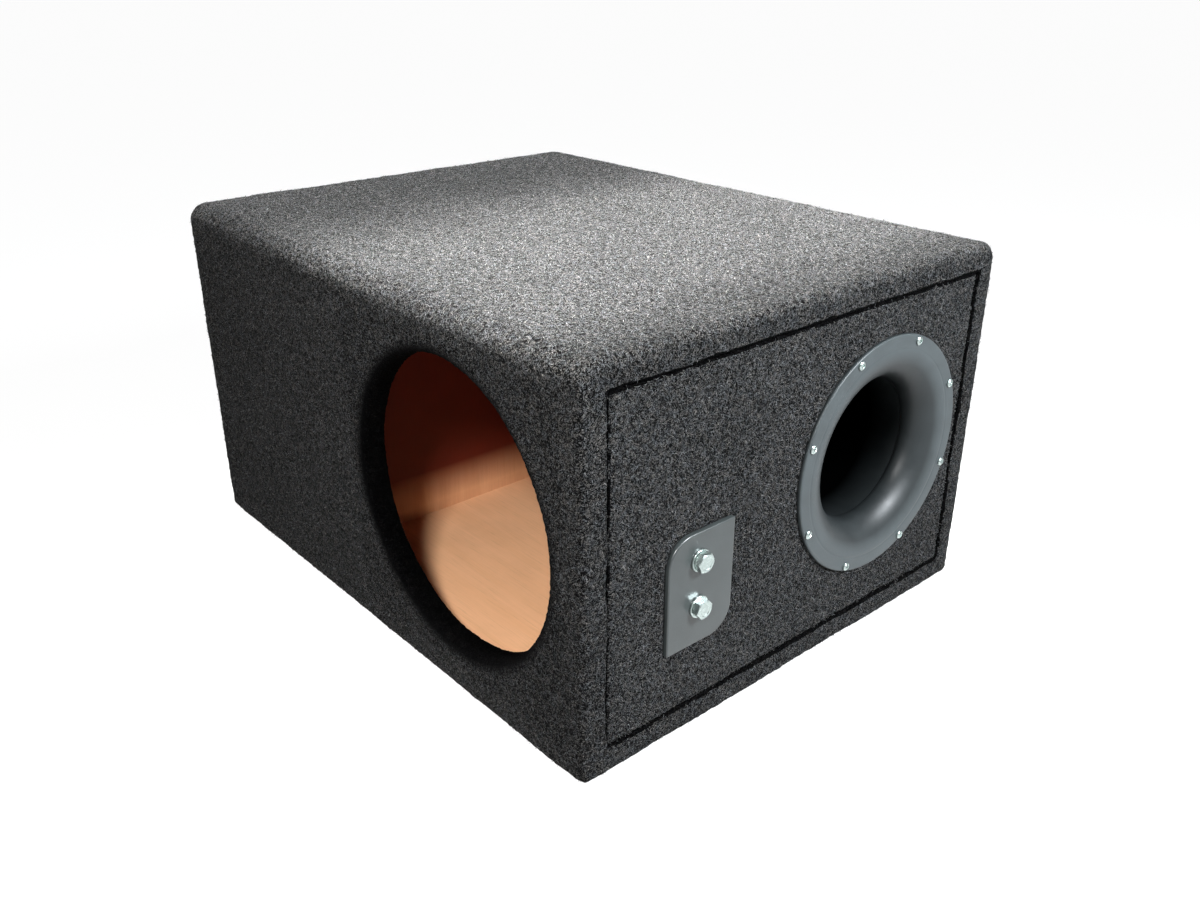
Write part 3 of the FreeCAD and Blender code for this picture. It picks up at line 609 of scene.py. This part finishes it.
def plate_distance(y, z):
    """Signed distance to the plate's outline, negative inside it."""
    middle_y = (PLATE_LOW.y + PLATE_HIGH.y) / 2
    middle_z = (PLATE_LOW.z + PLATE_HIGH.z) / 2
    across, rise = y - middle_y, z - middle_z
    corner = np.where(across * rise < 0, PLATE_CORNER, 0.0)
    past_y = np.abs(across) - (PLATE_HIGH.y - PLATE_LOW.y) / 2 + corner
    past_z = np.abs(rise) - (PLATE_HIGH.z - PLATE_LOW.z) / 2 + corner
    outside = np.hypot(np.maximum(past_y, 0), np.maximum(past_z, 0))
    return outside + np.minimum(np.maximum(past_y, past_z), 0) - corner


def end_carpet(name, side, seed, windows):
    """The carpet over one end board; side is 1 for the port end and -1 for the other.

    With windows, it is cut out under the plate and round the port.
    """
    across = edge_stations(-CAP_Y + 0.0002, CAP_Y - 0.0002)
    rise = edge_stations(CAP_LOW_Z + 0.0002, CAP_TOP_Z - 0.0002)
    points = np.array([
        (side * (CAP_X - max(drop_y, drop_z)), y, z) for y, drop_y in across for z, drop_z in rise
    ])
    quads = grid_faces(len(across), len(rise))
    if side < 0:
        quads = quads[:, ::-1]
    normals = point_normals(points, quads)
    shift = seam_wander(points)
    border = np.minimum.reduce([
        CAP_Y - np.abs(points[:, 1]), points[:, 2] - CAP_LOW_Z, CAP_TOP_Z - points[:, 2]])
    pull = np.clip(1 - border / 0.006, 0, 1) * shift
    points = soften(points, normals, seed)
    points[:, 1] -= np.where(CAP_Y - np.abs(points[:, 1]) < 0.004, np.sign(points[:, 1]) * pull, 0)
    points[:, 2] += np.where(points[:, 2] - CAP_LOW_Z < 0.004, pull, 0)
    points[:, 2] -= np.where(CAP_TOP_Z - points[:, 2] < 0.004, pull, 0)
    if windows:
        distance = plate_distance(points[:, 1], points[:, 2])
        step = 1e-5
        slope = np.stack([
            (plate_distance(points[:, 1] + step, points[:, 2]) - distance) / step,
            (plate_distance(points[:, 1], points[:, 2] + step) - distance) / step], axis=1)
        gap = 0.0004
        snap = np.abs(distance - gap) < 0.55 * CELL
        points[snap, 1:] -= slope[snap] * (distance[snap] - gap)[:, None]
        bulge = np.exp(-((distance - 0.006) / 0.004) ** 2) * 0.0006
        points[:, 0] += np.where(distance > gap + 0.001, bulge, 0)
        points[:, 0] = np.where(snap, CAP_X - 0.0011, points[:, 0])
        points[:, 0] = np.where((distance < 0) & ~snap, PLATE_LOW.x + 0.0003, points[:, 0])
        gone = distance < -0.004
        radius = np.hypot(points[:, 1] - PORT_Y, points[:, 2] - PORT_Z)
        gone |= radius < PORT_WINDOW
        under_flange = radius < FLANGE_R + 0.0005
        points[:, 0] = np.where(under_flange, np.minimum(points[:, 0], CAP_X), points[:, 0])
        quads = quads[~gone[quads].all(axis=1)]
    middle = points[quads].mean(axis=1)
    from_border = np.minimum.reduce([
        CAP_Y - np.abs(middle[:, 1]), middle[:, 2] - CAP_LOW_Z, CAP_TOP_Z - middle[:, 2]])
    item = make_piece(name, *keep_used(points, quads), CARPET, "carpet")
    item.data.materials.append(PAINTED_SHADE_CARPET)
    # faces in the seam band get the carpet of painted shade
    cap_seam_shade = from_border < seam_half(middle)
    item.data.polygons.foreach_set("material_index", cap_seam_shade.astype(np.int32))
    return item


port_cap = end_carpet("port_end_carpet_sheet", 1, 21, windows=True)
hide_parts("port_end_carpet")
plain_cap = end_carpet("plain_end_carpet_sheet", -1, 31, windows=False)
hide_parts("plain_end_carpet")


# ---------------------------------------------------------------- loose fibres

def fuzz(name, sheet, count, seed, allowed=None):
    """Short curled fibres that stand out of a sheet's faces of plain pile, not those with painted
    shade, each a bent ribbon.
    """
    rng = np.random.default_rng(seed)
    mesh = sheet.data
    points = np.zeros(len(mesh.vertices) * 3, np.float32)
    mesh.vertices.foreach_get("co", points)
    points = points.reshape(-1, 3).astype(float)
    corners = np.zeros(len(mesh.loops), np.int32)
    mesh.loops.foreach_get("vertex_index", corners)
    quads = corners.reshape(-1, 4)
    centre = points[quads].mean(axis=1)
    first, second, third, fourth = points[quads].transpose(1, 0, 2)
    normal = np.cross(third - first, fourth - second)
    area = np.linalg.norm(normal, axis=1)
    normal /= np.maximum(area, 1e-15)[:, None]
    slot_index = np.zeros(len(quads), np.int32)
    mesh.polygons.foreach_get("material_index", slot_index)
    weight = np.where(slot_index == 0, area, 0.0) * (allowed(centre) if allowed else 1.0)
    chosen = rng.choice(len(quads), count, p=weight / weight.sum())
    blend = rng.dirichlet((1, 1, 1, 1), count)
    root = (points[quads[chosen]] * blend[:, :, None]).sum(axis=1)
    up = normal[chosen]
    random = rng.normal(size=(count, 3))
    along = np.cross(up, random)
    along /= np.linalg.norm(along, axis=1)[:, None]
    across = np.cross(up, along)
    length = rng.uniform(0.0022, 0.0052, count)[:, None]
    height = rng.uniform(0.0004, 0.0013, count)[:, None]
    curl = rng.uniform(-0.5, 0.5, count)[:, None] * length
    width = rng.uniform(0.00012, 0.00022, count)[:, None]
    line = [
        root - up * 0.0003,
        root + up * height + along * length * 0.35 + across * curl * 0.2,
        root + up * height * 1.1 + along * length * 0.75 + across * curl * 0.7,
        root + up * height * 0.35 + along * length + across * curl,
    ]
    widths = (1.0, 1.0, 0.85, 0.35)
    made = []
    for place, share in zip(line, widths):
        made += [place - across * width * share, place + across * width * share]
    made = np.stack(made, axis=1).reshape(-1, 3)
    made[:, 2] = np.maximum(made[:, 2], 0.0002)
    start = np.arange(count)[:, None] * 8
    faces = np.concatenate([
        start + np.array([2 * k, 2 * k + 1, 2 * k + 3, 2 * k + 2]) for k in range(3)])
    return make_piece(name, made, faces, FIBRE, "carpet")


wrap_fuzz = fuzz(
    "wrap_carpet_fibres", wrap, 32000, 41,
    lambda c: (c[:, 1] > 0) | (np.hypot(c[:, 0] - HOLE_X, c[:, 2] - HOLE_Z) > HOLE_R + 0.5 * LIP))
port_fuzz = fuzz(
    "port_end_carpet_fibres", port_cap, 9000, 42,
    lambda c: (plate_distance(c[:, 1], c[:, 2]) > 0.002)
    & (np.hypot(c[:, 1] - PORT_Y, c[:, 2] - PORT_Z) > FLANGE_R + 0.001),
)
plain_fuzz = fuzz("plain_end_carpet_fibres", plain_cap, 9000, 43)


# ---------------------------------------------------------------- port

BORE = 0.070  # radius of the port's bore
CREST = 0.102  # radius at which the flare meets the flat flange
THROAT_X = -0.026  # depth of the flare, from the flange's face
FLANGE_THICK = 0.004
FLANGE_EDGE = 0.0016  # radius of the flange's outer edge
SOCKET = 0.0761  # radius of the socket for the tube
SOCKET_END = THROAT_X - 0.024
SHOULDER_X = THROAT_X - 0.004


def bell_profile(rim):
    """Outline of a bell as (x from its face, radius), from the throat round and back."""
    outline = []
    for angle in np.radians(np.linspace(-90, 0, 30)):
        outline.append((THROAT_X - THROAT_X * math.cos(angle),
                        CREST + (CREST - BORE) * math.sin(angle)))
    outline[-1:] = [(-0.0001, CREST - 0.0006), (-0.00024, CREST), (-0.0001, CREST + 0.0006)]
    outline += [(0.0, CREST + 0.0020), (0.0, rim - 0.0025)]
    for angle in np.radians(np.linspace(0, 90, 6)):
        outline.append((FLANGE_EDGE * (math.cos(angle) - 1),
                        rim + FLANGE_EDGE * (math.sin(angle) - 1)))
    outline += [(-FLANGE_THICK + 0.0004, rim), (-FLANGE_THICK, rim - 0.0004), (-FLANGE_THICK, CREST)]
    for angle in np.radians(np.linspace(0, -90, 16))[1:]:
        outline.append((THROAT_X + (-THROAT_X - FLANGE_THICK) * math.cos(angle),
                        CREST + (CREST - SOCKET) * math.sin(angle)))
    outline += [(SOCKET_END + 0.0004, SOCKET), (SOCKET_END, SOCKET - 0.0004)]
    outline += [(SOCKET_END, SOCKET - 0.0026), (SHOULDER_X, SOCKET - 0.0030)]
    outline += [(SHOULDER_X, BORE + 0.0004), (SHOULDER_X + 0.0004, BORE)]
    return outline


def turn_piece(name, profile, steps, place, material, slot, body="enclosure"):
    """A closed profile of (x, radius) turned round an axis along X."""
    angles = np.linspace(0, 2 * math.pi, steps, endpoint=False)
    points = np.array([
        (x, radius * math.cos(angle), radius * math.sin(angle))
        for x, radius in profile for angle in angles
    ])
    quads = grid_faces(len(profile), steps, wrap_rows=True, wrap_columns=True)
    return make_piece(name, points + np.array(place), quads, material, slot, body)


bell = turn_piece("port_bell", bell_profile(FLANGE_R), 180, (FLANGE_X, PORT_Y, PORT_Z),
                  PORT_PLASTIC, "port_plastic")
sharpen(bell, 50)
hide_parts("port_outer_bell")


# ---------------------------------------------------------------- screws of the port

SCREW_R = 0.0040  # radius of a head
SCREW_CIRCLE = 0.1103  # radius of the circle of screws
SCREW_TURN = 70.0  # angle of the first screw from +Y, in degrees
SCREW_COUNT = 8
SCREW_HIGH = 0.0026
SCREW_SEED = 60


def pan_screw(seed):
    """A pan head with a cross recess, its seat at x = 0, and the shank behind it."""
    rng = np.random.default_rng(seed)
    turn = rng.uniform(0, math.pi / 2)
    radii = np.concatenate([np.linspace(0.00005, 0.0026, 16), np.linspace(0.0028, SCREW_R, 7)])
    steps = 64
    angles = np.linspace(0, 2 * math.pi, steps, endpoint=False)
    points = []
    for radius in radii:
        dome = SCREW_HIGH - 0.0013 * (radius / SCREW_R) ** 3.2
        for angle in angles:
            across = abs(radius * math.cos(angle - turn))
            rise = abs(radius * math.sin(angle - turn))
            narrow, far = min(across, rise), max(across, rise)
            depth = 0.0016 * min(1, max(0, (0.00062 - narrow) / 0.00022))
            depth *= min(1, max(0, (0.0023 - far) / 0.0006))
            points.append((dome - depth, radius * math.cos(angle), radius * math.sin(angle)))
    rim_and_shank = (
        (0.0006, SCREW_R), (0.0, SCREW_R - 0.0002), (0.0, 0.002), (-0.018, 0.002),
        (-0.022, 0.0001))
    for x, radius in rim_and_shank:
        points += [(x, radius * math.cos(a), radius * math.sin(a)) for a in angles]
    quads = grid_faces(len(radii) + len(rim_and_shank), steps, wrap_columns=True)[:, ::-1]
    return np.array(points), quads


screw_points, screw_quads = [], []
for number in range(SCREW_COUNT):
    points, quads = pan_screw(SCREW_SEED + number)
    angle = math.radians(SCREW_TURN + 360 / SCREW_COUNT * number)
    place = (
        FLANGE_X, PORT_Y + SCREW_CIRCLE * math.cos(angle), PORT_Z + SCREW_CIRCLE * math.sin(angle))
    screw_quads.append(quads + sum(len(p) for p in screw_points))
    screw_points.append(points + np.array(place))
port_screws = make_piece("port_pan_screws", np.concatenate(screw_points),
                         np.concatenate(screw_quads), ZINC, "zinc")
sharpen(port_screws, 35)
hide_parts("port_screws")


# ---------------------------------------------------------------- terminals

def plate_outline(inset):
    """Points round the plate's edge, moved in by inset."""
    low_y, high_y = PLATE_LOW.y + inset, PLATE_HIGH.y - inset
    low_z, high_z = PLATE_LOW.z + inset, PLATE_HIGH.z - inset
    small, large = max(0.0015 - inset, 0.0004), PLATE_CORNER - inset
    corners = [
        (low_y + small, low_z + small, small, 180), (high_y - large, low_z + large, large, 270),
        (high_y - small, high_z - small, small, 0), (low_y + large, high_z - large, large, 90),
    ]
    points = []
    for y, z, radius, start in corners:
        for angle in np.radians(np.linspace(start, start + 90, 17 if radius > 0.01 else 6)):
            points.append((y + radius * math.cos(angle), z + radius * math.sin(angle)))
    return points


bolt_boxes = {which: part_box("terminal_bolt_" + which) for which in ("lower", "upper")}
bolt_heights = {which: (low.z + high.z) / 2 for which, (low, high) in bolt_boxes.items()}
BOLT_Y = (bolt_boxes["lower"][0].y + bolt_boxes["lower"][1].y) / 2
WASHER_LOW, WASHER_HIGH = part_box("terminal_washer_lower")
BOLT_HOLE = 0.0055  # radius of the plate's two holes
HOLE_STEPS = 40
PLATE_BEVEL = 0.0014


def hole_loop(height):
    """Y and Z of the points round a bolt hole of the plate."""
    return [(BOLT_Y + BOLT_HOLE * math.cos(a), height + BOLT_HOLE * math.sin(a))
            for a in np.linspace(0, 2 * math.pi, HOLE_STEPS, endpoint=False)]


# the edge of the plate and its bevel, then the filled face, then the walls of its holes
edge_steps = [(0.0, PLATE_LOW.x), (0.0, PLATE_HIGH.x - PLATE_BEVEL)]
for angle in np.radians(np.linspace(0, 90, 6))[1:]:
    edge_steps.append((PLATE_BEVEL - PLATE_BEVEL * math.cos(angle),
                       PLATE_HIGH.x - PLATE_BEVEL + PLATE_BEVEL * math.sin(angle)))
count = len(plate_outline(0))
points = [(x, y, z) for inset, x in edge_steps for y, z in plate_outline(inset)]
faces = grid_faces(len(edge_steps), count, wrap_columns=True)[:, ::-1].tolist()
flat = [point[1:] for point in points[-count:]]
for height in bolt_heights.values():
    flat += hole_loop(height)
edges, start = [], 0
for size in (count, HOLE_STEPS, HOLE_STEPS):
    edges += [(start + k, start + (k + 1) % size) for k in range(size)]
    start += size
filled_points, _, filled_faces, *_ = delaunay_2d_cdt([Vector(p) for p in flat], edges, [], 0, 1e-9)
top_start = len(points)
points += [(PLATE_HIGH.x, p.x, p.y) for p in filled_points]
for face in filled_faces:
    middle = sum((filled_points[k] for k in face), Vector((0, 0))) / len(face)
    from_holes = min((middle - Vector((BOLT_Y, h))).length for h in bolt_heights.values())
    if from_holes > BOLT_HOLE * 0.999 and plate_distance(middle.x, middle.y) < -0.0012:
        faces.append([top_start + k for k in face])
for height in bolt_heights.values():
    wall = len(points)
    for x in (PLATE_HIGH.x, PLATE_LOW.x):
        points += [(x, y, z) for y, z in hole_loop(height)]
    faces += (grid_faces(2, HOLE_STEPS, wrap_columns=True) + wall).tolist()
plate = make_piece("terminal_plate_bevelled", points, faces, PLATE_PLASTIC, "plate_plastic")
sharpen(plate, 40)
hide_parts("terminal_plate")


def ordered_ring(inner, outer, thick, soft):
    """Outline of a flat ring with rounded corners, in order, as (x, radius)."""
    outline = []
    for x, radius, start in ((thick - soft, outer - soft, 0), (soft, outer - soft, 90),
                             (soft, inner + soft, 180), (thick - soft, inner + soft, 270)):
        for angle in np.radians(np.linspace(start, start + 90, 5)):
            outline.append((x + soft * math.cos(angle), radius + soft * math.sin(angle)))
    return outline


def hex_head(seat, flats, high):
    """A hexagon head from its seat: washer face, sides and a turned chamfer on top."""
    steps = 96
    face_high = 0.0005
    angles = np.linspace(0, 2 * math.pi, steps, endpoint=False)
    half = flats / 2
    face_r, under_r = half * 0.96, half * 1.13
    hexagon = half / np.cos((angles + math.pi / 6) % (math.pi / 3) - math.pi / 6)
    points = []

    def loop(x, radius):
        points.extend(np.stack([x + 0 * angles, radius * np.sin(angles), radius * np.cos(angles)], 1))

    loop(seat, np.full(steps, 0.0052))
    loop(seat, np.full(steps, face_r))
    loop(seat + face_high - 0.0001, np.full(steps, face_r))
    loop(seat + face_high, np.minimum(hexagon, under_r))
    top = seat + high
    chamfer = math.tan(math.radians(30))
    cone_start = half * 0.95
    side_top = top - np.maximum(hexagon - cone_start, 0) * chamfer
    for share in (0.0, 0.5, 1.0):
        low = seat + face_high + np.maximum(hexagon - under_r, 0) * chamfer
        loop(low + (side_top - low) * share, hexagon)
    for share in (0.5, 1.0):
        radius = hexagon + (cone_start - hexagon) * share
        loop(top - np.maximum(radius - cone_start, 0) * chamfer, radius)
    for radius in (half * 0.9, half * 0.72, half * 0.66, half * 0.3, 0.0001):
        sunk = 0.0003 if radius < half * 0.7 else 0.0
        loop(np.full(steps, top - sunk), np.full(steps, radius))
    return np.array(points), grid_faces(len(points) // steps, steps, wrap_columns=True)


def threaded_rod(seat, radius, pitch, length):
    """A threaded shank that runs back from the seat along -X."""
    steps = 36
    stations = int(length / pitch * 8)
    depth = 0.55 * pitch
    points = []
    for k in range(stations + 1):
        x = -length * k / stations
        for j in range(steps):
            angle = 2 * math.pi * j / steps
            phase = (-x / pitch + j / steps) % 1
            cut = max(0.0, 1 - abs(phase - 0.5) / 0.42)
            tip = min(1.0, (length + x) / 0.0015)
            depth_here = depth * cut if x < -0.003 else 0.0
            r = min(radius - depth_here, radius - 0.001 + 0.001 * tip)
            points.append((seat + x, r * math.sin(angle), r * math.cos(angle)))
    points += [(seat - length, 0.0001 * math.sin(2 * math.pi * j / steps),
                0.0001 * math.cos(2 * math.pi * j / steps)) for j in range(steps)]
    return np.array(points), grid_faces(stations + 2, steps, wrap_columns=True)[:, ::-1]


SEAT_X = WASHER_HIGH.x
HEAD_HIGH = bolt_boxes["lower"][1].x - SEAT_X
HEAD_FLATS = 0.016
SHANK = SEAT_X - bolt_boxes["lower"][0].x
THREAD_R, THREAD_PITCH = 0.005, 0.0015
WASHER_BORE, WASHER_R, WASHER_EDGE = 0.0053, 0.0100, 0.0004
HEAD_TURNS = {"lower": 11.0, "upper": -6.0}  # degrees that each head stands turned by
for which, height in bolt_heights.items():
    head_points, head_quads = hex_head(0.0, HEAD_FLATS, HEAD_HIGH)
    rod_points, rod_quads = threaded_rod(0.0, THREAD_R, THREAD_PITCH, SHANK)
    turn = math.radians(HEAD_TURNS[which])
    joined = np.concatenate([head_points, rod_points])
    spun = joined.copy()
    spun[:, 1] = joined[:, 1] * math.cos(turn) - joined[:, 2] * math.sin(turn)
    spun[:, 2] = joined[:, 1] * math.sin(turn) + joined[:, 2] * math.cos(turn)
    quads = np.concatenate([head_quads, rod_quads + len(head_points)])
    bolt = make_piece("terminal_hex_bolt_" + which, spun + np.array((SEAT_X, BOLT_Y, height)),
                      quads, ZINC, "zinc", which + "_bolt")
    sharpen(bolt, 24)
    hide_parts("terminal_bolt_" + which)
    ring_points = ordered_ring(WASHER_BORE, WASHER_R, WASHER_HIGH.x - WASHER_LOW.x, WASHER_EDGE)
    washer = turn_piece("terminal_plain_washer_" + which, ring_points, 72,
                        (WASHER_LOW.x, BOLT_Y, height), ZINC, "zinc", which + "_washer")
    sharpen(washer, 50)
    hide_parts("terminal_washer_" + which)


# ---------------------------------------------------------------- CAD nodes that stay

KEPT = (
    (FLOOR_WOOD, ("bottom_panel",)),
    (PAINTED_SHADE_WOOD, ("top_panel", "back_panel", "driver_baffle")),
    (UPRIGHT_WOOD, ("divider_panel", "port_end_panel", "plain_end_panel")),
    (PORT_PLASTIC, ("port_tube", "port_inner_bell")),
    (ZINC, ("terminal_tee_nuts",)),
    (YELLOW_ZINC, ("front_screws", "back_screws", "top_screws", "bottom_screws")),
)
for material, nodes in KEPT:
    for node in nodes:
        for entry in frame["nodes"][node].material_slots:
            entry.material = material


# ---------------------------------------------------------------- stage, light, camera

FLOOR_REACH = 40.0
FLOOR_DROP = 0.0005  # the floor lies this far under the base carpet
floor_mesh = bpy.data.meshes.new("floor")
floor_corners = [(-1, -1), (1, -1), (1, 1), (-1, 1)]
floor_mesh.from_pydata(
    [(FLOOR_REACH * x, FLOOR_REACH * y, 0) for x, y in floor_corners], [], [(0, 1, 2, 3)])
floor = bpy.data.objects.new("floor", floor_mesh)
floor.location.z = -FLOOR_DROP
bpy.context.scene.collection.objects.link(floor)
floor_material = bpy.data.materials.new("pale_floor")
floor_material.use_nodes = True
floor_shader = floor_material.node_tree.nodes["Principled BSDF"]
# the floor is dark and shines by itself, so that it renders white almost without shadows
floor_shader.inputs["Base Color"].default_value = (0.12, 0.12, 0.12, 1)
floor_shader.inputs["Emission Color"].default_value = (1.0, 1.0, 1.0, 1)
floor_shader.inputs["Emission Strength"].default_value = 0.94
floor_shader.inputs["Roughness"].default_value = 0.9
floor_shader.inputs["Specular IOR Level"].default_value = 0.1
floor_mesh.materials.append(floor_material)


def softbox(name, place, target, wide, deep, watts, spread, colour=(1.0, 1.0, 1.0)):
    """A rectangular light at a place, facing a target; spread is in degrees."""
    data = bpy.data.lights.new(name, "AREA")
    data.shape = "RECTANGLE"
    data.size = wide
    data.size_y = deep
    data.energy = watts
    data.color = colour
    data.spread = math.radians(spread)
    item = bpy.data.objects.new(name, data)
    item.visible_camera = False
    item.location = place
    item.rotation_euler = (Vector(target) - Vector(place)).to_track_quat("-Z", "Y").to_euler()
    bpy.context.scene.collection.objects.link(item)


softbox("overhead", (0.12, 0.05, 0.80), (0.12, 0.05, TOP_Z), 0.42, 0.68, 15.4, 34,
        (1.0, 0.995, 0.975))
softbox("overhead_fill", (-0.08, 0.04, 0.80), (-0.08, 0.04, TOP_Z), 0.66, 0.62, 10.6, 26)
softbox("key", (0.50, -0.76, 0.80), (0.10, -0.20, 0.12), 0.15, 0.15, 13.2, 180)
softbox("side", (1.25, 0.30, 1.00), (0.33, 0.05, 0.20), 0.40, 0.40, 65, 180, (0.95, 1.0, 1.05))

world = bpy.data.worlds.new("studio")
world.use_nodes = True
world.node_tree.nodes["Background"].inputs["Color"].default_value = (0.20, 0.20, 0.20, 1)
bpy.context.scene.world = world
bpy.context.scene.view_settings.view_transform = "Standard"

CAMERA_PLACE = (0.8500, -0.6991, 0.6180)
camera_data = bpy.data.cameras.new("camera")
camera_data.sensor_width = 36.0
camera_data.lens = 33.011
camera = bpy.data.objects.new("camera", camera_data)
azimuth, elevation, roll = math.radians(48.811), math.radians(24.875), math.radians(0.13)
back = Vector((
    math.sin(azimuth) * math.cos(elevation), -math.cos(azimuth) * math.cos(elevation),
    math.sin(elevation)))
level = Vector((0, 0, 1)).cross(back).normalized()
upright = back.cross(level)
right = level * math.cos(roll) + upright * math.sin(roll)
up = upright * math.cos(roll) - level * math.sin(roll)
camera.matrix_world = (
    Matrix.Translation(CAMERA_PLACE) @ Matrix((right, up, back)).transposed().to_4x4())
bpy.context.scene.collection.objects.link(camera)
bpy.context.scene.camera = camera
